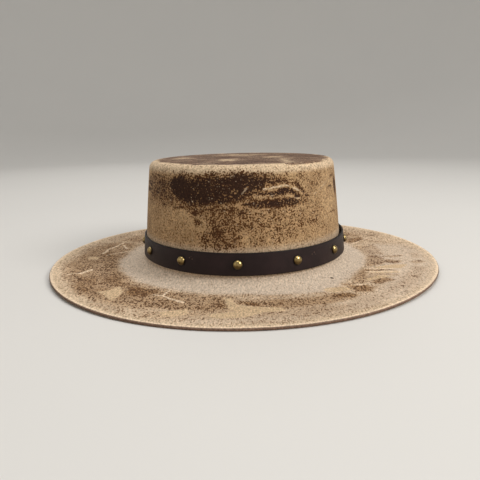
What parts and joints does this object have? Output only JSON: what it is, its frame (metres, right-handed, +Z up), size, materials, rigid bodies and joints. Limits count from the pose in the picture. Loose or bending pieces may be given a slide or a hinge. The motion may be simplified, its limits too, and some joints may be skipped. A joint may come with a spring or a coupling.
{
  "type": "bolero hat",
  "caption": "Flat-topped felt hat with a straight oval crown and a wide flat brim, worn on the head for shade, with a studded leather band around the crown.",
  "frame": {"origin": "middle of the head opening, on the level of the underside of the brim", "axes": "+Z up through the tip, -Y to the front of the hat, +X to the wearer's left"},
  "size_m": [0.3312, 0.3642, 0.0898],
  "materials": {
    "felt": "tan felt, fine grain, distressed with dark brown speckled stains and pale scuffs",
    "band_leather": "very dark brown strap leather, smooth and satin, with darker cut edges",
    "stud_brass": "aged brass, polished on the dome and darker at the foot"
  },
  "bodies": {
    "root": {"felt_body": "felt", "hat_band": "band_leather", "stud_01": "stud_brass", "stud_02": "stud_brass", "stud_03": "stud_brass", "stud_04": "stud_brass", "stud_05": "stud_brass", "stud_06": "stud_brass", "stud_07": "stud_brass", "stud_08": "stud_brass", "stud_09": "stud_brass", "stud_10": "stud_brass", "stud_11": "stud_brass", "stud_12": "stud_brass", "stud_13": "stud_brass"}
  },
  "joints": []
}
